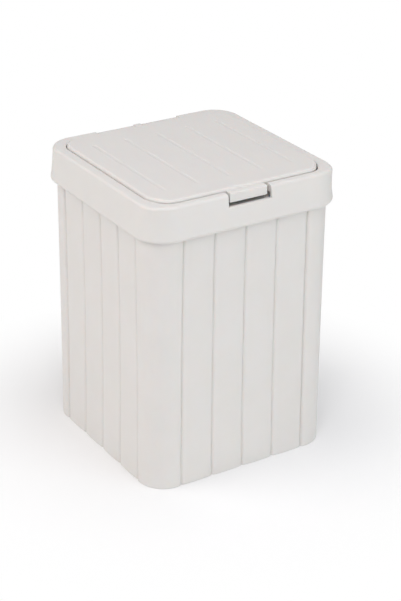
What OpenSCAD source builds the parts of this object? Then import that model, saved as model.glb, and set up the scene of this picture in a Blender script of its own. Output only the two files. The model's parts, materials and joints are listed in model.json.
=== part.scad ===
// Push top countertop bin: a square planked body, a lift-off lid surround, and a
// sprung lid that a press on its front lets go. Front is -Y, millimetres, base on z = 0.

/* [Body] */
// Width of the body across the planks
body_w = 159.6; // [150:0.5:175]
// Height of the planked wall, up to the shoulder inside the surround
body_h = 204.4; // [150:0.2:260]
// Corner radius of the body
corner_r = 21.6; // [19:0.2:24]
// Height of the plain neck that the surround drops over
neck_h = 9.6; // [8:0.2:14]
// Wall thickness behind a groove
wall = 1.6; // [1.2:0.1:2.4]
// Wall thickness of the neck
neck_t = 1.9; // [1.6:0.1:2.1]
// Thickness of the base
base_t = 2.6; // [2:0.1:4]
// Chamfer round the foot of the body
foot_c = 0.6; // [0.3:0.1:2]
// Planks on each side, not counting the corner ones
plank_n = 4; // [3:1:5]
// From the side of the body to its first groove
corner_plank = 25.6; // [25:0.2:28]
// Crown of each plank
plank_crown = 0.7; // [0.3:0.1:1]
// Width of the groove that the round edges of two planks make
groove_w = 5.4; // [4.8:0.1:6]
// Depth of a groove below the plank edges
groove_d = 1.4; // [0.8:0.1:1.6]

/* [Surround] */
// Height of the surround from lip to rim
surround_h = 27; // [25:0.2:30]
// How far the lower edge stands out from the planks
flare = 3.8; // [3.4:0.1:4.6]
// How far the sides lean in from lip to rim
lean = 2.5; // [1.5:0.1:3]
// Radius along the outer edge of the rim
rim_r = 2.5; // [1.8:0.1:3]
// Radius under the lower edge
lip_r = 3; // [2.4:0.1:3.4]
// Width of the flat rim round the lid
rim_w = 8.5; // [8.3:0.1:9.5]
// Thickness of the outer skin
skin = 2.2; // [1.8:0.1:2.4]
// Thickness of the inner wall round the lid
inner_t = 1.7; // [1.4:0.1:2]
// Corner radius of the lid opening
opening_r = 17; // [14:0.5:19]
// Width of the finger notch in the front
notch_w = 36.6; // [30:0.2:42]
// Depth of the notch below the rim
notch_d = 9.4; // [8.8:0.1:11]

/* [Lid] */
// Gap all round the lid
lid_gap = 1.1; // [0.8:0.1:1.4]
// Height of the lid panel above the rim
lid_rise = 2; // [1.4:0.1:2.6]
// Thickness of the lid panel
lid_t = 2.4; // [2:0.1:3]
// Depth of the lid's skirt below the rim
skirt_d = 6.5; // [5.5:0.1:7.5]
// Thickness of the lid's skirt
skirt_t = 1.8; // [1.4:0.1:2.2]
// Shallow grooves across the panel
panel_grooves = 5; // [3:1:6]
// Height of the push tab
tab_h = 7; // [6.8:0.1:7.6]
// How far the tab sits back from the front of the rim
tab_back = 1.8; // [1.6:0.1:3.4]
// Gap at each end of the tab
tab_gap = 2.6; // [1:0.1:2.8]

/* [Hinge] */
// Width of the hinge tongue at the back
tongue_w = 71.6; // [64:0.2:80]
// Radius of the hinge barrel
barrel_r = 4.3; // [4.1:0.1:4.4]
// Diameter of the hinge pins
pin_d = 3; // [2.6:0.1:3.2]
// Length of each hinge pin
pin_l = 28; // [25:0.5:30]
// Running clearance round the pins, on the radius
run_gap = 0.05; // [0.03:0.01:0.08]
// Width of the middle knuckle
knuckle_w = 6; // [5:0.2:7]
// Wire diameter of the lid springs
spring_wire = 1; // [0.8:0.1:1]

/* [Latch] */
// How far the latch stands in from the front of the rim
latch_in = 18.6; // [18:0.2:22]
// Push stroke of the latch
press = 2.43; // [2:0.01:2.6]
// Diameter of the plunger
plunger_d = 8; // [7.6:0.1:8.4]
// Diameter of the magnet in the plunger's tip
magnet_d = 6; // [5:0.1:6.4]
// Air gap between the magnet and the strike plate
magnet_gap = 0.1; // [0.08:0.01:0.15]
// Length of the latch housing below the shelf
case_b = 25; // [24:0.5:30]
// Depth of the latch housing, front to back
case_d = 17; // [16:0.2:18.4]
// Length of the follower rod between its bent ends
rod_l = 14; // [13:0.2:15]

/* [Hidden] */
$fn = 64;
e = 0.01;
body_x = body_w / 2;
// centre lines of the corner radii, body and lid opening
cc = body_x - corner_r;
crest_r = (pow((body_w - 2 * corner_plank) / plank_n / 2, 2) + pow(plank_crown, 2)) / (2 * plank_crown);
pitch = (body_w - 2 * corner_plank) / plank_n;
edge_x = body_x - plank_crown;
corner_flat = corner_plank - corner_r;
// height of a crowned plank over its edges where its rounding starts
edge_top = sqrt(pow(crest_r, 2) - pow((pitch - groove_w) / 2, 2)) - crest_r + plank_crown;
inner_x = edge_x - groove_d - wall;
neck_x = inner_x + neck_t;
neck_top = body_h + neck_h;

// surround
s_z = body_h - 2.6;
rim_z = s_z + surround_h;
low_x = body_x + flare;
lean_a = atan(lean / (surround_h - lip_r - rim_r));
top_x = low_x - lean;
lip_zc = s_z + lip_r;
rim_zc = rim_z - rim_r;
function face_x(z) = low_x - (z - lip_zc) * tan(lean_a);
lip_xc = face_x(lip_zc + lip_r * sin(lean_a)) - lip_r * cos(lean_a);
rim_xc = face_x(rim_zc + rim_r * sin(lean_a)) - rim_r * cos(lean_a);
skin_x = skin / cos(lean_a);
open_x = top_x - rim_w;
oc = open_x - opening_r;
under_z = rim_z - skin;
inner_z = rim_z - 11.5;
shelf_t = 2.2;
notch_z = rim_z - notch_d;
shelf_z = notch_z - 1.4 - shelf_t;
cheek_t = 1.8;
window_z = rim_z - 5.6;

// hinge
axis_y = top_x - 4.5;
axis_z = rim_z - 4.6;
barrel_gap = 0.9;
slot_x = knuckle_w / 2 + barrel_gap;
end_x = tongue_w / 2 + 1;
boss_r = 3.9;
pin_out = end_x + 4.5;
pocket_a = pin_out - pin_l + 1.6;
pocket_l = 10;
coil_r = pin_d / 2 + 0.4 + spring_wire / 2;
pocket_r = coil_r + spring_wire / 2 + 0.6;
web_t = 3.8;

// lid
lid_x = open_x - lid_gap;
lc = lid_x - (opening_r - lid_gap);
lid_top = rim_z + lid_rise;
lid_under = lid_top - lid_t;
skirt_z = rim_z - skirt_d;
tab_y = top_x - tab_back;
tab_x = notch_w / 2 - tab_gap;
back_in = 3.2;

// latch
ly = -(top_x - latch_in);
boss_h = 3.2;
strike_t = 1.2;
strike_screw_x = 8.5;
strike_z = lid_under - boss_h - strike_t;
magnet_z = strike_z - magnet_gap;
plunger_z = magnet_z - 0.2;
nose_z = strike_z - press - 1.1;
nose_r = plunger_d / 2 + 2;
bore_r = plunger_d / 2 + 0.15;
case_x = 8.5;
case_z = shelf_z - case_b;
ear_t = 5;
screw_x = 13.5;
cam_d = 1.1;
plunger_b = shelf_z - 12;
rod_y = ly + plunger_d / 2 + 1.1;
rod_r = 0.5;
rod_z = case_z + 6;
rod_top = rod_z + rod_l;
cover_t = 1.2;
spring_r = 1.9;

warm_white = [0.87, 0.86, 0.84];
steel = [0.72, 0.73, 0.75];
grey_white = [0.78, 0.78, 0.77];

// A profile carried round a square with rounded corners; x is measured from the corner centre
module around(c) {
  for (a = [0:90:270])
    rotate([0, 0, a]) {
      translate([c, c, 0]) rotate_extrude(angle = 90) children();
      translate([c, 0, 0]) rotate([90, 0, 0]) linear_extrude(height = 2 * c, center = true) children();
    }
}

// A solid square block with rounded corners, its edge drawn by a profile from z0 to z1
module block(c, z0, z1) {
  around(c) children();
  translate([-c, -c, z0]) cube([2 * c, 2 * c, z1 - z0]);
}

module plain_block(c, x, z0, z1) {
  block(c, z0, z1) translate([0, z0]) square([x - c, z1 - z0]);
}

// A rod along X
module rod_x(r, x0, x1) {
  translate([x0, 0, 0]) rotate([0, 90, 0]) cylinder(r = r, h = x1 - x0);
}

function arc(cx, cz, r, a0, a1, n = 6) =
  [for (i = [0:n]) [cx + r * cos(a0 + (a1 - a0) * i / n), cz + r * sin(a0 + (a1 - a0) * i / n)]];

function unit(v) = v / norm(v);
function tangent(p, i) = unit(p[min(i + 1, len(p) - 1)] - p[max(i - 1, 0)]);
// normals carried along a path without twist
function carried(p, i, n) =
  let (t = tangent(p, i), m = unit(n - t * (n * t)))
  i == len(p) - 1 ? [m] : concat([m], carried(p, i + 1, m));

// Round wire along a path
module wire(p, r, n0, sides = 8) {
  ns = carried(p, 0, n0);
  k = len(p);
  pts = [for (i = [0:k - 1]) let (t = tangent(p, i), b = cross(t, ns[i]))
         for (j = [0:sides - 1]) p[i] + r * (cos(360 * j / sides) * ns[i] + sin(360 * j / sides) * b)];
  walls = [for (i = [0:k - 2]) for (j = [0:sides - 1]) let (q = (j + 1) % sides)
           for (f = [[i * sides + j, i * sides + q, (i + 1) * sides + q],
                     [i * sides + j, (i + 1) * sides + q, (i + 1) * sides + j]]) f];
  ends = [for (j = [1:sides - 2]) for (f = [[0, j + 1, j], [(k - 1) * sides, (k - 1) * sides + j, (k - 1) * sides + j + 1]]) f];
  polyhedron(points = pts, faces = [for (f = concat(walls, ends)) [f[0], f[2], f[1]]]);
}

// Cut between two planks whose edges round off from the heights left and right of it
module groove(left, right) {
  difference() {
    translate([-groove_w / 2, -groove_d - 0.5]) square([groove_w, groove_d + 2.5]);
    for (s = [-1, 1])
      let (top = (s < 0 ? left : right) + 0.02, drop = groove_d + top)
        let (edge_r = (pow(groove_w / 2, 2) + pow(drop, 2)) / (2 * drop))
          translate([s * groove_w / 2, top - edge_r]) circle(r = edge_r);
  }
}

// Outline of the planked wall: crowned planks whose round edges meet in narrow grooves
module planks() {
  difference() {
    union() {
      square([2 * edge_x, 2 * cc], center = true);
      square([2 * cc, 2 * edge_x], center = true);
      for (x = [-1, 1]) for (y = [-1, 1]) {
        translate([x * cc, y * cc]) circle(r = corner_r);
        translate([x * cc, y * cc]) mirror([x < 0 ? 1 : 0, 0]) mirror([0, y < 0 ? 1 : 0]) {
          translate([-corner_flat, 0]) square([corner_flat, corner_r]);
          translate([0, -corner_flat]) square([corner_r, corner_flat]);
        }
      }
      for (a = [0:90:270]) rotate(a)
        for (i = [0:plank_n - 1])
          intersection() {
            translate([-body_x + corner_plank + pitch * (i + 0.5), body_x - crest_r]) circle(r = crest_r, $fn = 360);
            translate([-body_x + corner_plank + pitch * i, edge_x - 4]) square([pitch, 6]);
          }
    }
    for (a = [0:90:270]) rotate(a)
      for (i = [0:plank_n])
        translate([-body_x + corner_plank + pitch * i, edge_x])
          groove(i == 0 ? plank_crown : edge_top, i == plank_n ? plank_crown : edge_top);
  }
}

module bin_body() {
  color(warm_white)
    difference() {
      union() {
        intersection() {
          linear_extrude(height = body_h) planks();
          // chamfered foot
          block(cc, 0, body_h + 1)
            polygon([[0, 0], [corner_r - foot_c, 0], [corner_r + 1, foot_c + 1], [corner_r + 1, body_h + 1], [0, body_h + 1]]);
        }
        // neck under the surround
        block(cc, body_h - e, neck_top)
          polygon(concat([[0, body_h - e], [neck_x - cc, body_h - e]],
                         arc(neck_x - cc - 0.8, neck_top - 0.8, 0.8, 0, 90, 4), [[0, neck_top]]));
      }
      // inside, with a radius along its floor
      block(cc, base_t, neck_top + 1)
        polygon(concat([[0, base_t]], arc(inner_x - cc - 6, base_t + 6, 6, -90, 0), [[inner_x - cc, neck_top + 1], [0, neck_top + 1]]));
      // hollow underside inside the foot ring
      plain_block(cc, body_x - 10, -1, 0.8);
    }
}

// Cross-section of the surround's skin and rim
module surround_profile() {
  translate([-cc, 0])
    polygon(concat([[body_x + 0.55, s_z]], arc(lip_xc, lip_zc, lip_r, -90, lean_a),
                   arc(rim_xc, rim_zc, rim_r, lean_a, 90),
                   [[oc + 14, rim_z], [oc + 14, under_z], [face_x(under_z) - skin_x, under_z],
                    [face_x(s_z + 5) - skin_x, s_z + 5], [body_x + 0.55, s_z + 2.6]]));
}

module hinge_place() {
  translate([0, axis_y, axis_z]) children();
}

module lid_surround() {
  color(warm_white)
    difference() {
      union() {
        difference() {
          union() {
            around(cc) surround_profile();
            // inner wall round the lid
            around(oc) translate([opening_r, inner_z]) square([inner_t, rim_z - skin / 2 - inner_z]);
          }
          // lid opening with a softened edge
          block(oc, inner_z - 1, rim_z + 1)
            polygon(concat([[0, inner_z - 1], [opening_r, inner_z - 1]], [[opening_r, rim_z - 0.6], [opening_r + 0.6, rim_z]],
                           [[opening_r + 0.6, rim_z + 1], [0, rim_z + 1]]));
          // finger notch, front
          translate([-notch_w / 2, -low_x - 5, notch_z]) cube([notch_w, low_x - oc, 40]);
          translate([-notch_w / 2, -open_x - inner_t - 1, inner_z - 1]) cube([notch_w, 20, 40]);
          // cut-out for the hinge tongue, back
          translate([-end_x, oc, notch_z]) cube([2 * end_x, low_x - oc + 5, 40]);
        }
        // cheeks beside the notch, each with a window between its skin and its inner wall
        for (s = [-1, 1])
          difference() {
            translate([s * (notch_w / 2 + cheek_t / 2) - cheek_t / 2, -top_x + 0.7, inner_z])
              cube([cheek_t, rim_w - 0.7, under_z + 0.6 - inner_z]);
            translate([s * (notch_w / 2 + cheek_t / 2) - cheek_t, skin_x - face_x(window_z), shelf_z + shelf_t + 0.3])
              cube([2 * cheek_t, face_x(window_z) - skin_x - open_x - inner_t, window_z - shelf_z - shelf_t - 0.3]);
          }
        // shelf under the tab, carrying the latch
        difference() {
          union() {
            translate([-notch_w / 2 - cheek_t, -face_x(shelf_z) + skin / 2, shelf_z])
              cube([notch_w + 2 * cheek_t, face_x(shelf_z) - skin / 2 + ly + case_d / 2, shelf_t]);
            for (s = [-1, 1])
              translate([s * (notch_w / 2 + cheek_t / 2) - cheek_t / 2, -inner_x + 1.4, 0])
                rotate([90, 0, 90])
                  linear_extrude(height = cheek_t)
                    polygon([[0, shelf_z - 8], [2, shelf_z - 8], [inner_x + ly + 5, shelf_z + e], [0, shelf_z + e]]);
          }
          translate([0, ly, shelf_z - 1]) cylinder(r = nose_r + 0.1, h = 5);
          for (s = [-1, 1])
            translate([s * screw_x, ly, shelf_z - 1]) cylinder(r = 1.6, h = 5);
        }
        // ribs that stand on the neck
        for (a = [0:90:270]) rotate([0, 0, a])
          for (s = [-1, 1])
            translate([s * (cc - 10) - 0.8, open_x + inner_t - 0.3, neck_top])
              cube([1.6, top_x - 0.5 - open_x - inner_t + 0.3, under_z + 0.4 - neck_top]);
        for (a = [90, 270]) rotate([0, 0, a])
          for (s = [-1, 1])
            translate([s * cc * 0.3 - 0.8, open_x + inner_t - 0.3, neck_top])
              cube([1.6, top_x - 0.5 - open_x - inner_t + 0.3, under_z + 0.4 - neck_top]);
        // bosses at the ends of the hinge
        hinge_place()
          for (s = [-1, 1])
            scale([s, 1, 1]) {
              rod_x(boss_r, end_x, pin_out);
              // rib from the boss up into the rim
              translate([end_x, -boss_r + 0.4, 0]) cube([cheek_t, 2 * boss_r - 0.8, rim_z - skin / 2 - axis_z]);
            }
        // middle knuckle, with the stop that holds the open lid
        hinge_place() {
          rod_x(barrel_r - 0.1, -knuckle_w / 2, knuckle_w / 2);
          translate([-knuckle_w / 2, 0, -(axis_z - shelf_z)])
            cube([knuckle_w, face_x(axis_z) - skin / 2 - axis_y, axis_z - shelf_z]);
          translate([-knuckle_w / 2, 0, 0])
            rotate([90, 0, 90])
              linear_extrude(height = knuckle_w)
                polygon([[0, 0], [3.2, 0], [3.2, 4.2], [0.6, 4.3], [0, 4.2]]);
        }
        // low wall under the tongue, and the rests of the spring legs
        translate([-end_x - 1, open_x, inner_z - 2])
          cube([2 * end_x + 2, inner_t, axis_z - 4.4 - inner_z + 2]);
        for (s = [-1, 1])
          translate([s * (pocket_a + pocket_l / 2) - pocket_l / 2 + 1, open_x, inner_z - 2])
            cube([pocket_l - 2, inner_t, axis_z - 4.1 - inner_z + 2]);
        for (s = [-1, 1])
          translate([s * (end_x + cheek_t / 2) - cheek_t / 2, open_x + 0.2, inner_z - 2])
            cube([cheek_t, 3, axis_z - inner_z + 2]);
      }
      // bores for the hinge pins
      hinge_place()
        for (s = [-1, 1])
          scale([s, 1, 1]) rod_x(pin_d / 2 + run_gap, end_x - 1, pin_out + 1);
    }
}

// One half of the hinge tongue, on +X
module tongue_half() {
  hinge_place()
    difference() {
      union() {
        rod_x(barrel_r, slot_x, tongue_w / 2);
        translate([-e, lid_x - back_in - skirt_t - axis_y, rim_z - web_t - axis_z])
          cube([tongue_w / 2 + e, axis_y - lid_x + back_in + skirt_t, web_t - 0.25]);
      }
      rod_x(pin_d / 2 + run_gap, slot_x - 1, tongue_w / 2 + 1);
      // pocket for the coil, open below, and for the leg that lifts the lid
      rod_x(pocket_r, pocket_a, pocket_a + pocket_l);
      translate([pocket_a, -pocket_r - 1, -10]) cube([pocket_l, 2 * pocket_r + 3, 10]);
      translate([pocket_a, -12, -4]) cube([pocket_l, 12, coil_r + spring_wire / 2 + 4.15]);
    }
}

module lid_panel() {
  color(warm_white)
    difference() {
      union() {
        difference() {
          // panel with a rounded edge and a skirt
          block(lc, skirt_z, lid_top)
            polygon(concat([[0, skirt_z], [lid_x - lc, skirt_z]],
                           arc(lid_x - lc - lid_rise, lid_top - lid_rise, lid_rise, 0, 90), [[0, lid_top]]));
          plain_block(lc, lid_x - skirt_t, skirt_z - 1, lid_under);
          // the back edge stands clear of the rim as it swings
          translate([-body_x, lid_x - back_in, skirt_z - 1])
            cube([body_w, 10, lid_under - 0.2 - skirt_z + 1]);
          // clearance for the latch nose behind the tab
          translate([-notch_w / 2, ly - nose_r - 0.5, skirt_z - 1]) cube([notch_w, 2 * nose_r, 3]);
        }
        // back skirt, set in
        translate([-lc - 9.4, lid_x - back_in - skirt_t, skirt_z])
          cube([2 * lc + 18.8, skirt_t, lid_under + e - skirt_z]);
        // push tab, open below
        difference() {
          translate([-tab_x, 0, 0])
            rotate([90, 0, 90])
              linear_extrude(height = 2 * tab_x) {
                translate([-tab_y, rim_z - tab_h]) square([tab_y - lid_x + skirt_t, tab_h - 1]);
                translate([-tab_y + 1, rim_z - tab_h]) square([tab_y - lid_x + skirt_t - 1, tab_h]);
                translate([-tab_y + 1, rim_z - 1]) circle(r = 1);
              }
          translate([-tab_x + 1.8, -tab_y + 1.8, rim_z - tab_h - 1])
            cube([2 * tab_x - 3.6, tab_y - lid_x - 1.8 + e, tab_h - 1]);
        }
        // ribs under the panel
        for (x = [-2, -1, 1, 2])
          translate([x * lid_x / 3 - 0.7, -lid_x + 1, lid_under - 2.6]) cube([1.4, 2 * lid_x - back_in - 2, 2.6 + e]);
        for (y = [-1, 1])
          translate([-lid_x + 1, y * lid_x / 3 - 0.7, lid_under - 2.6]) cube([2 * lid_x - 2, 1.4, 2.6 + e]);
        // boss for the strike plate
        translate([-13, ly - 6, lid_under - boss_h]) cube([26, 12, boss_h + e]);
        for (s = [0, 1]) mirror([s, 0, 0]) tongue_half();
      }
      // slot round the middle knuckle; its end meets the knuckle when the lid stands open
      translate([-slot_x, axis_y - 4.6, skirt_z - 1]) cube([2 * slot_x, 30, 40]);
      // way for the spring legs through the back skirt
      for (s = [-1, 1])
        translate([s * (pocket_a + pocket_l / 2) - pocket_l / 2, axis_y - 12, skirt_z - 1])
          cube([pocket_l, 8, axis_z + coil_r + spring_wire / 2 + 0.15 - skirt_z + 1]);
      // shallow grooves across the panel
      for (i = [0:panel_grooves - 1])
        translate([(i - (panel_grooves - 1) / 2) * lid_x * 0.382, -2.6, lid_top + 1.6]) {
          rotate([90, 0, 0]) cylinder(r = 2, h = lid_x * 1.43, center = true);
          for (s = [-1, 1]) translate([0, s * lid_x * 0.715, 0]) sphere(r = 2);
        }
      // screw holes in the boss
      for (s = [-1, 1])
        translate([s * strike_screw_x, ly, lid_under - boss_h - 1]) cylinder(r = 1.22, h = 4.8);
    }
}

module hinge_pin(s) {
  color(steel)
    hinge_place()
      scale([s, 1, 1])
        translate([pin_out - pin_l, 0, 0]) rotate([0, 90, 0])
          union() {
            translate([0, 0, 0.4]) cylinder(r = pin_d / 2, h = pin_l - 0.8);
            cylinder(r1 = pin_d / 2 - 0.4, r2 = pin_d / 2, h = 0.4);
            translate([0, 0, pin_l - 0.4]) cylinder(r1 = pin_d / 2, r2 = pin_d / 2 - 0.4, h = 0.4);
          }
}
module hinge_pin_left() { hinge_pin(-1); }
module hinge_pin_right() { hinge_pin(1); }

// Coil round the pin, one leg under the lid and one leg on the surround
coil_a = 285;
coil_b = 90 + 360 * 5;
coil_n = 72;
coil_pitch = spring_wire + 0.5;
coil_x = pocket_a + (pocket_l - coil_pitch * (coil_b - coil_a) / 360) / 2;
function coil_at(a) = [coil_x + coil_pitch * (a - coil_a) / 360, coil_r * cos(a), coil_r * sin(a)];
lid_spring_path = concat(
  [for (l = [5.5, 2.5, 1]) coil_at(coil_a) - l * [0, -sin(coil_a), cos(coil_a)]],
  [for (i = [0:coil_n]) coil_at(coil_a + (coil_b - coil_a) * i / coil_n)],
  [for (l = [1, 4, 8.5]) coil_at(coil_b) + l * [0, -sin(coil_b), cos(coil_b)]]);

module lid_spring(s) {
  color(steel)
    hinge_place()
      if (s > 0) wire(lid_spring_path, spring_wire / 2, [1, 0, 0]);
      else mirror([1, 0, 0]) wire(lid_spring_path, spring_wire / 2, [1, 0, 0]);
}
module lid_spring_left() { lid_spring(-1); }
module lid_spring_right() { lid_spring(1); }

module strike_plate() {
  color(steel)
    difference() {
      translate([-12, ly - 5, strike_z]) cube([24, 10, strike_t]);
      for (s = [-1, 1]) translate([s * strike_screw_x, ly, strike_z - 1]) cylinder(r = 1.3, h = 4);
    }
}

// Pan head screw, point up
module small_screw(d, l, head_r, head_h) {
  difference() {
    union() {
      intersection() {
        cylinder(r = head_r, h = head_h);
        translate([0, 0, head_h - head_h / 2]) sphere(r = head_r * 1.08);
      }
      cylinder(r = d / 2, h = head_h + l - 0.8);
      translate([0, 0, head_h + l - 0.8]) cylinder(r1 = d / 2, r2 = d / 4, h = 0.8);
    }
    // cross recess
    for (a = [0, 90]) rotate(a) translate([-head_r / 2, -0.25, -1]) cube([head_r, 0.5, 1.6]);
  }
}
module strike_screw(s) {
  color(steel) translate([s * strike_screw_x, ly, strike_z - 1]) small_screw(2.4, 4.9, 2.2, 1);
}
module strike_screw_left() { strike_screw(-1); }
module strike_screw_right() { strike_screw(1); }

module latch_housing() {
  color(grey_white)
    difference() {
      union() {
        translate([-case_x, ly - case_d / 2, case_z]) cube([2 * case_x, case_d, case_b]);
        // ears under the shelf
        translate([-screw_x - 4, ly - 4.5, shelf_z - ear_t]) cube([2 * screw_x + 8, 9, ear_t]);
        // nose through the shelf
        translate([0, 0, shelf_z - e]) translate([0, ly, 0]) cylinder(r = nose_r, h = nose_z - shelf_z);
      }
      translate([0, ly, case_z - 1]) cylinder(r = bore_r, h = nose_z - case_z + 2);
      // channel of the follower, closed by the cover
      translate([-2.6, ly, rod_z - 1.2]) cube([5.2, case_d / 2 + 1, rod_l + 3.2]);
      // seat of the cover
      translate([-5.6, ly + case_d / 2 - cover_t, rod_z - 4]) cube([11.2, 2, rod_l + 8]);
      for (s = [-1, 1])
        translate([s * screw_x, ly, shelf_z - ear_t - 1]) cylinder(r = 1.42, h = ear_t + 2);
    }
}

module latch_cover() {
  color(grey_white)
    difference() {
      union() {
        translate([-5.5, ly + case_d / 2 - cover_t, rod_z - 3.9]) cube([11, cover_t, rod_l + 7.8]);
        translate([-2.5, rod_y + rod_r + 0.3, rod_z - 1.1]) cube([5, ly + case_d / 2 - cover_t + 0.1 - rod_y - rod_r - 0.3, rod_l + 3]);
      }
      translate([0, rod_y, rod_z]) rotate([-90, 0, 0]) cylinder(r = rod_r + 0.05, h = 3);
    }
}

module latch_end_cap() {
  color(grey_white) {
    translate([-case_x, ly - case_d / 2, case_z - 2]) cube([2 * case_x, case_d, 2]);
    translate([0, ly, case_z - e]) cylinder(r = bore_r - 0.05, h = 3);
  }
}

module latch_plunger() {
  color(warm_white)
    difference() {
      translate([0, ly, 0]) {
        translate([0, 0, plunger_b]) cylinder(r = plunger_d / 2, h = plunger_z - plunger_b - 0.5);
        translate([0, 0, plunger_z - 0.5]) cylinder(r1 = plunger_d / 2, r2 = plunger_d / 2 - 0.5, h = 0.5);
      }
      // seat of the magnet
      translate([0, ly, magnet_z - 3]) cylinder(r = magnet_d / 2 + 0.03, h = 4);
      // spring pocket
      translate([0, ly, plunger_b - 1]) cylinder(r = 2.5, h = 10);
      // cam track on the side of the follower
      translate([0, ly + plunger_d / 2 - cam_d, rod_top]) {
        translate([-2.3, 0, -4.2]) cube([4.6, 3, 8.2]);
        translate([-1.2, 0, -6]) cube([2.4, 3, 11.4]);
      }
    }
}

module latch_magnet() {
  color(steel) translate([0, ly, magnet_z - 2.95]) cylinder(r = magnet_d / 2, h = 2.95);
}

latch_spring_b = case_z + 3.4;
latch_spring_t = plunger_b + 8.6;
latch_turns = 8;
module latch_spring() {
  h = latch_spring_t - latch_spring_b;
  color(steel)
    translate([0, ly, latch_spring_b])
      wire([for (i = [0:latch_turns * 14])
            [spring_r * cos(360 * i / 14), spring_r * sin(360 * i / 14), h * i / (latch_turns * 14)]],
           0.3, [0, 0, 1]);
}

// Bent rod: its foot turns in the cover, its tip rides in the plunger's cam track
module latch_follower() {
  color(steel) {
    translate([0, rod_y, rod_z]) cylinder(r = rod_r, h = rod_l);
    translate([0, rod_y, rod_z]) sphere(r = rod_r);
    translate([0, rod_y, rod_top]) sphere(r = rod_r);
    translate([0, rod_y, rod_z]) rotate([-90, 0, 0]) cylinder(r = rod_r, h = 2.6);
    translate([0, rod_y, rod_top]) rotate([90, 0, 0]) cylinder(r = rod_r, h = 1.9);
  }
}

module latch_screw(s) {
  color(steel)
    translate([s * screw_x, ly, shelf_z + shelf_t + 1.7]) rotate([180, 0, 0]) small_screw(2.8, 6.6, 2.6, 1.7);
}
module latch_screw_left() { latch_screw(-1); }
module latch_screw_right() { latch_screw(1); }

bin_body();
lid_surround();
lid_panel();
hinge_pin_left();
hinge_pin_right();
lid_spring_left();
lid_spring_right();
strike_plate();
strike_screw_left();
strike_screw_right();
latch_housing();
latch_cover();
latch_end_cap();
latch_plunger();
latch_magnet();
latch_spring();
latch_follower();
latch_screw_left();
latch_screw_right();
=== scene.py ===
import json
import math

import bmesh
import bpy
from mathutils import Matrix, Vector


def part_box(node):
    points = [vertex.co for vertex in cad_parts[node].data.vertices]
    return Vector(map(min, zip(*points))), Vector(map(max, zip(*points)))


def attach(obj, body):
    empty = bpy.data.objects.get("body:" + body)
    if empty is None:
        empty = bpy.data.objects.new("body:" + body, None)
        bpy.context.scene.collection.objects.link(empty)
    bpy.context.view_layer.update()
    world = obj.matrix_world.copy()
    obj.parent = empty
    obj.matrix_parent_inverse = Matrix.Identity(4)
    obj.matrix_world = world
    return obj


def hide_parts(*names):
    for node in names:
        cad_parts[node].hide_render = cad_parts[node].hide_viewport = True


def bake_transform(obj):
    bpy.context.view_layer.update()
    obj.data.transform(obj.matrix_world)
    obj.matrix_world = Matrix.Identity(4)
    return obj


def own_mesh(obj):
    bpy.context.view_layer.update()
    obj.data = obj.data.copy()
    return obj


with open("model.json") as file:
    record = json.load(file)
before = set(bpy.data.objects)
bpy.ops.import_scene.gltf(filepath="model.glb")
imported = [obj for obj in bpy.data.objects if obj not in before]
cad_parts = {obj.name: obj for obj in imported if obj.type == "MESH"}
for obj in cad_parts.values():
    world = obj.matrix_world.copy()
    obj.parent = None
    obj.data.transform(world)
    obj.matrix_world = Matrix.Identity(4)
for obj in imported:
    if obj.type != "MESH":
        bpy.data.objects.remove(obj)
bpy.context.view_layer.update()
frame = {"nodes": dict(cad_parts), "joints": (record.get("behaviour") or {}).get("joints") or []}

# The bin's planked body, its surround and its lid are dressed here, and the springs are wound.
# Lengths are in mm in the frame of the solids, where -Y is the front, up to the stage. A finished
# mesh is scaled to metres.
MM = 0.001
WELD = 0.003
SHARP = math.radians(32)  # a sharper edge than this is kept as an edge


# ---------------------------------------------------------------- materials
def linear(hex_colour):
    """An sRGB hex colour as the linear values that the shader takes."""
    parts = [int(hex_colour[i : i + 2], 16) / 255 for i in (1, 3, 5)]
    return [p / 12.92 if p <= 0.04045 else ((p + 0.055) / 1.055) ** 2.4 for p in parts] + [1]


def bare(owner):
    """A material or world that uses nodes and has none yet."""
    owner.use_nodes = True
    owner.node_tree.nodes.clear()
    return owner


def add(owner, kind, **values):
    """Adds one shader node. Each value sets an input, with _ for a space, or else a setting, and
    a value that is a socket is linked."""
    tree = owner.node_tree
    node = tree.nodes.new("ShaderNode" + kind)
    for name, value in values.items():
        target = node.inputs.get(name.replace("_", " "))
        if target is None:
            setattr(node, name, value)
        elif isinstance(value, bpy.types.NodeSocket):
            tree.links.new(value, target)
        else:
            target.default_value = value
    return node


def surface(name, tones, rough, cloud, sheen, grain, strength, depth, stretch=(1, 1, 1), **shading):
    """A procedural material: cloud moves the colour between two tones, sheen moves the roughness
    between two values, and grain is a relief, depth mm deep. Each of the three is a noise, given
    as its size in mm and its detail."""
    m = bare(bpy.data.materials.new(name))
    spot = add(m, "TexCoord").outputs["Object"]
    spot = add(m, "Mapping", Vector=spot, Scale=stretch).outputs["Vector"]
    tone, gloss, relief = [
        add(m, "TexNoise", Vector=spot, Scale=1 / (size * MM), Detail=detail, Roughness=0.55)
        for size, detail in (cloud, sheen, grain)
    ]
    ramp = add(m, "ValToRGB", Fac=tone.outputs["Fac"])
    for stop, position, colour in zip(ramp.color_ramp.elements, (0.3, 0.7), tones):
        stop.position = position
        stop.color = linear(colour)
    gloss = add(m, "MapRange", Value=gloss.outputs["Fac"], To_Min=rough[0], To_Max=rough[1])
    bump = add(m, "Bump", Height=relief.outputs["Fac"], Strength=strength, Distance=depth * MM)
    shader = add(
        m, "BsdfPrincipled", Base_Color=ramp.outputs["Color"], Roughness=gloss.outputs["Result"],
        Normal=bump.outputs["Normal"], **shading,
    )
    add(m, "OutputMaterial", Surface=shader.outputs["BSDF"])
    return m


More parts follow.
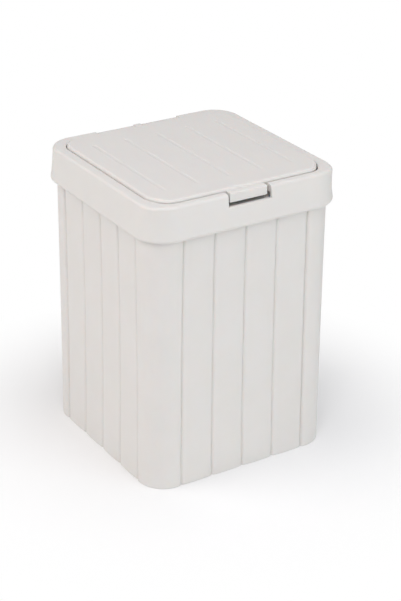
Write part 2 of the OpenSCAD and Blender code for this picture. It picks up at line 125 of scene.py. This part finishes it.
# Moulded plastic: a slow cloudiness in the tone, an uneven sheen, light that enters a little, and
# a fine eroded grain from the mould that breaks up the highlight.
MOULDED = {
    "cloud": (28, 3), "sheen": (9, 4), "strength": 0.5, "IOR": 1.49,
    "Subsurface_Weight": 0.25, "Subsurface_Radius": (1, 0.6, 0.45), "Subsurface_Scale": 2.5 * MM,
}
# Worked steel: fine lines that draw out the highlight, and a tone and sheen that wander together.
WORKED = {"cloud": (4, 3), "sheen": (4, 3), "grain": (0.25, 3), "strength": 0.4, "Metallic": 1}

# moulded polypropylene: the warm white of the planked body, satin with a soft sheen
body_pp = surface(
    "moulded_polypropylene_body", ("#dfdcd8", "#e1dedb"), (0.425, 0.46), grain=(0.35, 2),
    depth=0.012, **MOULDED,
)
# the same material with the slightly finer and smoother mould finish of the lid and surround
lid_pp = surface(
    "moulded_polypropylene_lid", ("#dfdcd9", "#e1deda"), (0.405, 0.44), grain=(0.3, 2),
    depth=0.010, **MOULDED,
)
# moulded acetal of the latch: slicker and a little greyer
latch_pom = surface(
    "moulded_acetal", ("#cfcfcc", "#d6d6d3"), (0.345, 0.38), grain=(0.5, 2), depth=0.006, **MOULDED,
)
# zinc plated steel of the pins, screws and strike plate: bluish grey with a blurred highlight
zinc = surface("zinc_plated_steel", ("#b2b4b7", "#c5c7ca"), (0.28, 0.42), depth=0.004, **WORKED)
# drawn spring wire: darker, with lines drawn out along the wire
wire_steel = surface(
    "drawn_spring_steel", ("#8e9196", "#a6a9ae"), (0.24, 0.38), depth=0.004, stretch=(0.2, 1, 1),
    **WORKED,
)
# nickel plated magnet: the brightest metal, slightly warm
nickel = surface(
    "nickel_plated_magnet", ("#c2bfb8", "#d0cdc6"), (0.14, 0.28), depth=0.002, **WORKED,
)


# ---------------------------------------------------------------- pieces
def loose(out):
    """The vertices among what an operator returns."""
    return [g for g in out if isinstance(g, bmesh.types.BMVert)]


def edges_of(out):
    """The edges among what an operator returns."""
    return [g for g in out if isinstance(g, bmesh.types.BMEdge)]


def turned(bm, geom, cent, angle, steps, axis=(0, 0, 1), climb=(0, 0, 0)):
    """Spins some geometry about an axis, climbing by a vector each step, and returns its end."""
    spun = bmesh.ops.spin(bm, geom=geom, cent=cent, axis=axis, angle=angle, steps=steps, dvec=climb)
    return spun["geom_last"]


def copies(bm, geom, matrices):
    """Copies of some geometry, each put in place by its own matrix."""
    for m in matrices:
        new = bmesh.ops.duplicate(bm, geom=geom)["geom"]
        bmesh.ops.transform(bm, matrix=m, verts=loose(new))


def quarters(bm, geom):
    """Copies some geometry to the other three sides of the bin."""
    copies(bm, geom, [Matrix.Rotation(math.pi / 2 * i, 4, "Z") for i in (1, 2, 3)])


def resized(bm, factor):
    """Scales a whole mesh: by 1 / MM before work on a node's copy, and by MM when it is done."""
    bmesh.ops.scale(bm, vec=(factor, factor, factor), verts=bm.verts)
    return bm


def share(value, low, high):
    """0 at low, 1 at high, in proportion between them."""
    return min(max((value - low) / (high - low), 0), 1)


def ramp(value, low, high):
    """0 below low, 1 above high, a soft step between."""
    t = share(value, low, high)
    return t * t * (3 - 2 * t)


def merged(node):
    """A copy of a CAD node's mesh, in mm, welded and with its flat facets joined, to work on."""
    bm = bmesh.new()
    bm.from_mesh(frame["nodes"][node].data)
    bmesh.ops.remove_doubles(bm, verts=bm.verts, dist=2e-6)
    flat = math.radians(0.2)
    bmesh.ops.dissolve_limit(bm, angle_limit=flat, verts=bm.verts, edges=bm.edges)
    return resized(bm, 1 / MM)


def piece_from(bm, name, material, body, nodes):
    """A finished piece from a mesh in mm. It rides on body, or on no body when body is None."""
    resized(bm, MM)
    bmesh.ops.recalc_face_normals(bm, faces=bm.faces)
    me = bpy.data.meshes.new(name)
    bm.to_mesh(me)
    bm.free()
    me.materials.append(material)
    me.polygons.foreach_set("use_smooth", [True] * len(me.polygons))
    me.set_sharp_from_angle(angle=SHARP)
    piece = bpy.data.objects.new(name, me)
    bpy.context.collection.objects.link(piece)
    if body:
        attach(piece, body)
    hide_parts(*nodes)
    return piece


# ---------------------------------------------------------------- sizes from the frame
def ends(node):
    """The right, back and top end of a node's solid."""
    return [round(c / MM, 3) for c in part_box(node)[1]]


HALF, _, NECK_TOP = ends("bin_body")  # half width over the planks
RIM_TOP, LID_TOP = ends("lid_surround")[2], ends("lid_panel")[2]
joints = {j["name"]: j for j in frame["joints"]}
AXIS_Y, AXIS_Z = [round(c / MM, 3) for c in joints["lid_open"]["pos_m"][1:]]

# ---------------------------------------------------------------- planked body
CENTRE = 58.2  # the corners' centre lines
RADIUS = HALF - CENTRE
PITCH, PLANKS, CROWN = 27.1, 4, 0.7  # a side's planks, and how far their middles stand out
REACH, DEPTH = 2.7, 1.4  # width and fall of a plank's round edge, down to the groove
EDGE_STEPS, CROWN_STEPS, CORNER_STEPS, TURN_STEPS = 7, 6, 9, 12
CROSSING = 0.02  # the edge starts this much above the crown, so that the two arcs cross
SHOULDER = 204.4
FOOT = ((0, 0.6), (0.08, 0.3), (0.26, 0.1), (0.6, 0))  # the foot's rounding: height, inset
LEVELS = (3, 8, 18, 32, 48, 64, 80, 96, 112, 128, 144, 160, 174, 186, 195, 201, SHOULDER)
FOOT_HALF, FOOT_RADIUS, TOP_RADIUS = 79.55, 20.8, 22.7  # the wall tapers down to the foot
HIDDEN_Z, NECK_SEAT = 201.5, 78.3  # above this height the grooves are filled out to the neck
SIDE_FROM = 68.2  # a vertex further out than this lies on a side
SINK_FOOT, SINK_RISE, SINK_FALL = 0.15, 0.0272, 0.0001014
NECK, BORE = 78.0, 76.1  # half widths of the neck and of the inside
LIP, BRIM = 0.8, 0.25  # the neck's top is rounded outside and has a small slope inside
BORE_Z = (SHOULDER, 200, 190, 178, 164, 150, 134, 118, 102, 86, 70, 54, 38, 22, 12)
FLOOR_Z, FILLET = 2.6, 6
BOWED_Z = 160  # the inside is bowed like the wall up to here, and less and less above
RING, RING_INSET, RECESS = 69.8, 0.2, 0.8  # the foot ring's inner wall, round the raised base


def rounding(top):
    """Radius and height of centre of a plank edge that falls from the height top to the groove."""
    drop = DEPTH + top
    r = (REACH**2 + drop**2) / (2 * drop)
    return r, HALF - CROWN + top - r


def plank_edge(bm, start, top, end):
    """Sweeps a plank's round edge from the bottom of the groove at x = start up to the angle end,
    and returns its last vertex."""
    r, y = rounding(top)
    bottom = bm.verts.new((start, HALF - CROWN - DEPTH, 0))
    a = math.atan2(bottom.co.y - y, -REACH)
    return loose(turned(bm, [bottom], (start + REACH, y, 0), end - a, EDGE_STEPS))[0]


def half_plank(bm):
    """A half plank from the groove at x = -PITCH / 2 to its crest at x = 0: the round edge up to
    where its arc crosses the arc of the crown, and then the crown."""
    crest = ((PITCH / 2) ** 2 + CROWN**2) / (2 * CROWN)
    top = math.sqrt(crest**2 - (PITCH / 2 - REACH) ** 2) - crest + CROWN + CROSSING
    r, y = rounding(top)
    edge, middle = Vector((REACH - PITCH / 2, y)), Vector((0, HALF - crest))
    apart = (middle - edge).length
    a = (r * r - crest * crest + apart * apart) / (2 * apart)
    along = (middle - edge) / apart
    beside = Vector((along.y, -along.x)) * math.sqrt(r * r - a * a)
    meet = min(edge + along * a + beside, edge + along * a - beside, key=lambda point: point.x)
    last = plank_edge(bm, -PITCH / 2, top, math.atan2(meet.y - edge.y, meet.x - edge.x))
    rest = math.pi / 2 - math.atan2(meet.y - middle.y, meet.x)
    turned(bm, [last], (0, middle.y, 0), rest, CROWN_STEPS)


def outline(bm):
    """The planked outline on z = 0: one half plank is mirrored and copied along a side, one half
    corner is mirrored over the diagonal, and the quarter is copied round."""
    half_plank(bm)
    bmesh.ops.mirror(bm, geom=bm.verts[:] + bm.edges[:], merge_dist=WELD, axis="X")
    bmesh.ops.translate(bm, vec=(-PITCH * (PLANKS - 1) / 2, 0, 0), verts=bm.verts)
    along = [Matrix.Translation((PITCH * i, 0, 0)) for i in range(1, PLANKS)]
    copies(bm, bm.verts[:] + bm.edges[:], along)
    known = set(bm.verts)
    top = CROWN + CROSSING
    r, y = rounding(top)
    last = plank_edge(bm, PITCH * PLANKS / 2, top, math.pi / 2 + math.acos((HALF - y) / r))
    flat = loose(bmesh.ops.extrude_vert_indiv(bm, verts=[last])["verts"])[0]
    flat.co.x = CENTRE
    turned(bm, [flat], (CENTRE, CENTRE, 0), -math.pi / 4, CORNER_STEPS)
    corner = [v for v in bm.verts if v not in known]
    edges = {e for v in corner for e in v.link_edges}
    swap = Matrix(((0, 1, 0, 0), (1, 0, 0, 0), (0, 0, 1, 0), (0, 0, 0, 1)))
    copies(bm, corner + list(edges), [swap])
    quarters(bm, bm.verts[:] + bm.edges[:])
    bmesh.ops.remove_doubles(bm, verts=bm.verts, dist=WELD)


def stretch(c, centre, radius):
    """Moves one coordinate so that the corner's centre line and its radius get new values."""
    a = abs(c)
    a = a * centre / CENTRE if a <= CENTRE else centre + (a - CENTRE) * radius / RADIUS
    return math.copysign(a, c)


def filled(c, other):
    """Fills the grooves of a side out to the neck's seat, in one coordinate."""
    on_side = abs(c) > SIDE_FROM and abs(other) < CENTRE
    return math.copysign(max(abs(c), NECK_SEAT), c) if on_side else c


def bowed(co, amount):
    """The sides sink in by amount at their middle and not at all past the corners."""
    x, y = co.x, co.y
    depth = [share(abs(c), CENTRE, HALF) for c in (x, y)]
    co.x -= math.copysign(amount * max(0, 1 - (y / HALF) ** 2) * depth[0], x)
    co.y -= math.copysign(amount * max(0, 1 - (x / HALF) ** 2) * depth[1], y)


def sink(z):
    """How far the middle of a side has sunk at height z: a little at the base, most half way up."""
    return SINK_FOOT + z * (SINK_RISE - SINK_FALL * z)


def walls(bm):
    """The outline carried up the side, with a small round foot, tapered and bowed. Under the
    surround, where it meets the neck, it is full and straight."""
    outline(bm)
    levels = FOOT + tuple((z, 0) for z in LEVELS)
    ring = bm.edges[:]
    for (z0, _), (z1, _) in zip(levels, levels[1:]):
        new = bmesh.ops.extrude_edge_only(bm, edges=ring)["geom"]
        bmesh.ops.translate(bm, vec=(0, 0, z1 - z0), verts=loose(new))
        ring = edges_of(new)
    inset = {round(z, 3): i for z, i in levels}
    for v in bm.verts:
        x, y, z = v.co
        if z > HIDDEN_Z:
            v.co.x, v.co.y = filled(x, y), filled(y, x)
            continue
        radius = FOOT_RADIUS + (TOP_RADIUS - FOOT_RADIUS) * z / SHOULDER
        half = FOOT_HALF + (HALF - FOOT_HALF) * z / SHOULDER
        cut = inset[round(z, 3)]
        v.co.x = stretch(x, half - radius, radius - cut)
        v.co.y = stretch(y, half - radius, radius - cut)
        bowed(v.co, sink(z))


def carried(bm, profile, spans=10):
    """Carries a profile, (half width, height), round a rounded square, and returns what is new."""
    known = set(bm.verts)
    points = [bm.verts.new((half, CENTRE, z)) for half, z in profile]
    line = [bm.edges.new(pair) for pair in zip(points, points[1:])]
    turned(bm, points + line, (CENTRE, CENTRE, 0), math.pi / 2, TURN_STEPS)
    edges = line
    for _ in range(spans):
        new = bmesh.ops.extrude_edge_only(bm, edges=edges)["geom"]
        bmesh.ops.translate(bm, vec=(0, -2 * CENTRE / spans, 0), verts=loose(new))
        edges = edges_of(new)
    part = [v for v in bm.verts if v not in known]
    edges = {e for v in part for e in v.link_edges}
    faces = {f for v in part for f in v.link_faces}
    quarters(bm, part + list(edges) + list(faces))
    new = [v for v in bm.verts if v not in known]
    bmesh.ops.remove_doubles(bm, verts=new, dist=WELD)
    return [v for v in bm.verts if v not in known]


def close_level(bm, z):
    """Fills the flat between the open rings that lie at height z."""
    open_edges = [e for e in bm.edges if e.is_boundary]
    ring = [e for e in open_edges if all(abs(v.co.z - z) < 1e-3 for v in e.verts)]
    bmesh.ops.triangle_fill(bm, edges=ring, use_beauty=True, use_dissolve=False)


def arc(half, z, radius, start, end, steps):
    """Points of a profile on an arc round (half, z)."""
    angles = [start + (end - start) * i / steps for i in range(steps + 1)]
    return [(half + radius * math.cos(a), z + radius * math.sin(a)) for a in angles]


tub_bm = bmesh.new()
walls(tub_bm)
neck_top = arc(NECK - LIP, NECK_TOP - LIP, LIP, 0, math.pi / 2, 5)
slope = [(BORE + BRIM, NECK_TOP), (BORE, NECK_TOP - BRIM)]
floor_edge = arc(BORE - FILLET, FLOOR_Z + FILLET, FILLET, 0, -math.pi / 2, 7)
down = [(BORE, z) for z in BORE_Z]
for v in carried(tub_bm, [(NECK, SHOULDER)] + neck_top + slope + down + floor_edge):
    if v.co.z < SHOULDER - 1 and max(abs(v.co.x), abs(v.co.y)) < BORE + 0.1:
        turn = math.pi * share(v.co.z, BOWED_Z, SHOULDER)
        bowed(v.co, sink(v.co.z) * (0.5 + 0.5 * math.cos(turn)))
carried(tub_bm, [(RING, 0), (RING, RECESS - RING_INSET), (RING - RING_INSET, RECESS)], 1)
for z in (SHOULDER, 0, RECESS, FLOOR_Z):
    close_level(tub_bm, z)
tub = piece_from(tub_bm, "tub_wall", body_pp, "tub", ["bin_body"])

# ---------------------------------------------------------------- surround
LIP_Z, RIM_Z = 204.8, 226.3  # the skin runs from the lip to where the rim's rounding starts
LIP_HALF, LEAN = 83.6, 0.1163  # its half width at the lip, and how much it leans in
LIP_RADIUS, RIM_RADIUS = 26.5, 20.8
SKIN, INNER = 3.5, 7  # the skin is reshaped in full down to SKIN deep, and not at all past INNER
STRAIGHT = 45  # a side stays as it is up to this far from its middle
SHELF_Z = 217.3
BORDER = (64.5, 70)  # the lean and the lid's wider sides set in between these, from the middle


def corners(bm):
    """Gives the surround's skin its own corner radius, from the lip to the rim."""
    for v in bm.verts:
        x, y = abs(v.co.x), abs(v.co.y)
        if min(x, y) <= STRAIGHT:
            continue
        climbed = share(v.co.z, LIP_Z, RIM_Z)
        half = LIP_HALF - LEAN * (RIM_Z - LIP_Z) * climbed
        radius = LIP_RADIUS + (RIM_RADIUS - LIP_RADIUS) * climbed
        c = half - radius
        dx, dy = max(x - CENTRE, 0), max(y - CENTRE, 0)
        out = math.hypot(dx, dy)
        depth = half - CENTRE - out
        keep = 1 - share(depth, SKIN, INNER)
        if keep == 0:
            continue
        reach = radius - depth
        squeeze = (c - STRAIGHT) / (CENTRE - STRAIGHT)
        new_x = c + reach * dx / out if dx else STRAIGHT + (x - STRAIGHT) * squeeze
        new_y = c + reach * dy / out if dy else STRAIGHT + (y - STRAIGHT) * squeeze
        v.co.x += math.copysign((new_x - x) * keep, v.co.x)
        v.co.y += math.copysign((new_y - y) * keep, v.co.y)


def forward(bm, amount, end, face):
    """Leans the front of a part forward: most at the rim, none at the shelf, and less from y =
    -end on, down to none at y = -face."""
    for v in bm.verts:
        y = -v.co.y
        high = share(v.co.z, SHELF_Z, RIM_TOP)
        v.co.y -= amount * high * ramp(y, *BORDER) * (1 - share(y, end, face))


surround_bm = merged("lid_surround")
corners(surround_bm)
forward(surround_bm, amount=2.1, end=74.4, face=78.5)
surround = piece_from(
    surround_bm, "surround_skin", lid_pp, "surround", ["lid_surround"],
)

# ---------------------------------------------------------------- lid
GROOVE_PITCH, GROOVE_REACH, GROOVE_DEEP, GROOVE_END = 27.313, 1.25, 0.45, 58
GROOVE_WIDER, GROOVE_SHALLOWER = 2 / 1.2, 0.62
SIDE_OUT = 0.4  # the lid's sides stand out this much more, which leaves a narrower gap


def soften_grooves(bm):
    """Makes the panel's grooves 4 mm wide and 0.25 mm deep, soft to the eye."""
    for v in bm.verts:
        middle = round(v.co.x / GROOVE_PITCH) * GROOVE_PITCH
        across = v.co.x - middle
        on_top = abs(v.co.z - LID_TOP) < GROOVE_DEEP and abs(v.co.y) < GROOVE_END
        if on_top and abs(across) < GROOVE_REACH:
            v.co.x = middle + across * GROOVE_WIDER
            v.co.z = LID_TOP + (v.co.z - LID_TOP) * GROOVE_SHALLOWER


lid_bm = merged("lid_panel")
soften_grooves(lid_bm)
forward(lid_bm, amount=2.45, end=72, face=79)
for v in lid_bm.verts:
    v.co.x += math.copysign(SIDE_OUT * ramp(abs(v.co.x), *BORDER), v.co.x)
lid = piece_from(lid_bm, "lid_top", lid_pp, "lid", ["lid_panel"])

# ---------------------------------------------------------------- springs
WIRE_SIDES, STEP = 12, 15  # sides of the wire's section, and degrees of each step of a coil
COIL_X, COIL_R, COIL_PITCH, COIL_WIRE = 16.556, 2.4, 1.5, 0.5
COIL_START, COIL_END = 285, 1890  # where the winding starts and ends, in degrees
COIL_LEGS = (5.5, 8.5)
LATCH_Y, LATCH_R, LATCH_WIRE, LATCH_TURNS = -62.5, 1.9, 0.3, 8
LATCH_LOW, LATCH_HIGH = 194.2, 212.4


def coiled(wire, place, tangent, centre, axis, angle, rise, legs=(0, 0)):
    """Wound wire: a ring of the wire's section is turned about the axis while it climbs, and each
    end runs on straight for the length of its leg."""
    bm = bmesh.new()
    turn = Vector((0, 0, 1)).rotation_difference(Vector(tangent)).to_matrix().to_4x4()
    put = Matrix.Translation(place) @ turn
    bmesh.ops.create_circle(bm, segments=WIRE_SIDES, radius=wire, matrix=put)
    first = bm.edges[:]
    steps = round(angle / STEP)
    angle = math.radians(angle)
    last = turned(bm, first, centre, angle, steps, axis, Vector(axis) * rise / steps)
    away = Matrix.Rotation(angle, 3, Vector(axis)) @ Vector(tangent)
    for ring, leg in ((first, -Vector(tangent) * legs[0]), (last, away * legs[1])):
        if leg.length:
            new = bmesh.ops.extrude_edge_only(bm, edges=edges_of(ring))["geom"]
            bmesh.ops.translate(bm, vec=leg, verts=loose(new))
    bmesh.ops.holes_fill(bm, edges=[e for e in bm.edges if e.is_boundary])
    return bm


climb = COIL_PITCH * (COIL_END - COIL_START) / 360
first_turn = math.radians(COIL_START)
for hand, sign in (("right", 1), ("left", -1)):
    coil_bm = coiled(
        COIL_WIRE,
        (COIL_X, AXIS_Y + COIL_R * math.cos(first_turn), AXIS_Z + COIL_R * math.sin(first_turn)),
        (0, -math.sin(first_turn), math.cos(first_turn)), (COIL_X, AXIS_Y, AXIS_Z), (1, 0, 0),
        COIL_END - COIL_START, climb, COIL_LEGS,
    )
    bmesh.ops.scale(coil_bm, vec=(sign, 1, 1), verts=coil_bm.verts)
    spring = piece_from(
        coil_bm, "lid_torsion_spring_" + hand, wire_steel, None, ["lid_spring_" + hand],
    )
    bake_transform(spring)

height = LATCH_HIGH - LATCH_LOW
coil_spring = piece_from(
    coiled(
        LATCH_WIRE, (LATCH_R, LATCH_Y, LATCH_LOW), (0, 1, 0), (0, LATCH_Y, LATCH_LOW), (0, 0, 1),
        360 * LATCH_TURNS, height,
    ),
    "latch_coil_spring", wire_steel, "surround", ["latch_spring"],
)
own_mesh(coil_spring)

for moulding in (tub, surround, lid):
    moulding.modifiers.new("normals", "WEIGHTED_NORMAL").keep_sharp = True

# the nodes that are shown as the solids have them, with their material and slot; the slot is not
# used
as_built = [
    (latch_pom, "latch_plastic", [
        "latch_housing", "latch_cover", "latch_end_cap", "latch_plunger",
    ]),
    (zinc, "pin_steel", [
        "hinge_pin_left", "hinge_pin_right", "strike_plate", "strike_screw_left",
        "strike_screw_right", "latch_screw_left", "latch_screw_right",
    ]),
    (nickel, "pin_steel", ["latch_magnet"]),
    (wire_steel, "spring_steel", ["latch_follower"]),
]
for material, slot, nodes in as_built:
    for n in nodes:
        o = frame["nodes"][n]
        o.data.materials.clear()
        o.data.materials.append(material)


# ---------------------------------------------------------------- stage
# Lengths here and for the camera are in metres.
FLOOR_HALF, FADE = 1.6, (0.09, 0.25)  # the shadow fades into the white page between these
AIM = Vector((0, 0, 0.1))


def mix_out(owner, out, fac, first, second):
    """Ends a material or a world with a mix of two shaders."""
    both = add(owner, "MixShader", Fac=fac)
    for i, shader in enumerate((first, second), start=1):
        owner.node_tree.links.new(shader.outputs[0], both.inputs[i])
    add(owner, out, Surface=both.outputs[0])


def staged(o):
    """Puts an object that isn't part of the bin into the scene."""
    bpy.context.collection.objects.link(o)
    return o


# white sweep: a matt floor that takes the soft shadow, and plain white page further out
white = bare(bpy.data.materials.new("white_sweep"))
away = add(white, "VectorMath", operation="LENGTH", Vector=add(white, "TexCoord").outputs["Object"])
seen = add(white, "LightPath").outputs["Is Camera Ray"]
fade = add(
    white, "MapRange", interpolation_type="SMOOTHSTEP", Value=away.outputs["Value"],
    From_Min=FADE[0], From_Max=FADE[1], To_Max=seen,
)
matt = add(white, "BsdfDiffuse", Color=linear("#fafafa"))
page = add(white, "Emission", Color=linear("#ffffff"), Strength=1)
mix_out(white, "OutputMaterial", fade.outputs["Result"], matt, page)

floor_bm = bmesh.new()
bmesh.ops.create_grid(floor_bm, x_segments=1, y_segments=1, size=FLOOR_HALF)
floor_me = bpy.data.meshes.new("studio_floor")
floor_bm.to_mesh(floor_me)
floor_bm.free()
floor_me.materials.append(white)
staged(bpy.data.objects.new("studio_floor", floor_me))

# the sky lights the bin evenly, and the page behind it stays white
scene = bpy.context.scene
world = bare(bpy.data.worlds.new("studio_world"))
scene.world = world
sky = add(world, "Background", Color=linear("#fffdfd"), Strength=0.375)
page = add(world, "Background", Color=linear("#ffffff"), Strength=1)
mix_out(world, "OutputWorld", add(world, "LightPath").outputs["Is Camera Ray"], sky, page)

# name, place, side, watts and tint; all of them face the middle of the bin
lamps = (
    ("top_softbox", (0.1, -0.2, 1.3), 0.8, 4.1, "#f9faff"),
    ("key_softbox", (-0.6, -0.8, 1.1), 0.6, 4.4, "#fefbff"),
    ("front_softbox", (0.5, -1.3, 0.6), 1.0, 5.2, "#f5feff"),
    ("rear_softbox", (-1.2, 0.5, 0.9), 1.0, 7.7, "#fffcf8"),
)
for name, place, size, watts, tint in lamps:
    data = bpy.data.lights.new(name, "AREA")
    data.size = size
    data.energy = watts
    data.color = linear(tint)[:3]
    lamp = staged(bpy.data.objects.new(name, data))
    lamp.location = place
    lamp.rotation_mode = "QUATERNION"
    lamp.rotation_quaternion = (AIM - Vector(place)).to_track_quat("-Z", "Y")

# ---------------------------------------------------------------- camera
# It stands as the photograph's camera does, by a fit to the grooves and the silhouette.
AZIMUTH, ELEVATION, ROLL = [math.radians(a) for a in (-32.3224, 25.8293, 0.601)]
PHOTO_HEIGHT, FOCAL = 601, 1670.418  # in pixels
SENSOR = 36  # in mm
RIGHTWARD, UPWARD, DISTANCE = 0.008891, 0.108389, 1.296829

back = Vector((
    math.sin(AZIMUTH) * math.cos(ELEVATION), -math.cos(AZIMUTH) * math.cos(ELEVATION),
    math.sin(ELEVATION),
))
right = Vector((math.cos(AZIMUTH), math.sin(AZIMUTH), 0))
up = back.cross(right)
x_axis = right * math.cos(ROLL) + up * math.sin(ROLL)
y_axis = up * math.cos(ROLL) - right * math.sin(ROLL)
stand = right * RIGHTWARD + Vector((0, 0, UPWARD)) + back * DISTANCE

camera_data = bpy.data.cameras.new("camera")
camera_data.sensor_width = SENSOR
camera_data.lens = FOCAL / PHOTO_HEIGHT * SENSOR
camera_data.clip_start = 0.1
camera_data.clip_end = 20
camera = staged(bpy.data.objects.new("camera", camera_data))
turn = Matrix((x_axis, y_axis, back)).transposed().to_4x4()
camera.matrix_world = Matrix.Translation(stand) @ turn
scene.camera = camera
scene.view_settings.view_transform = "Standard"
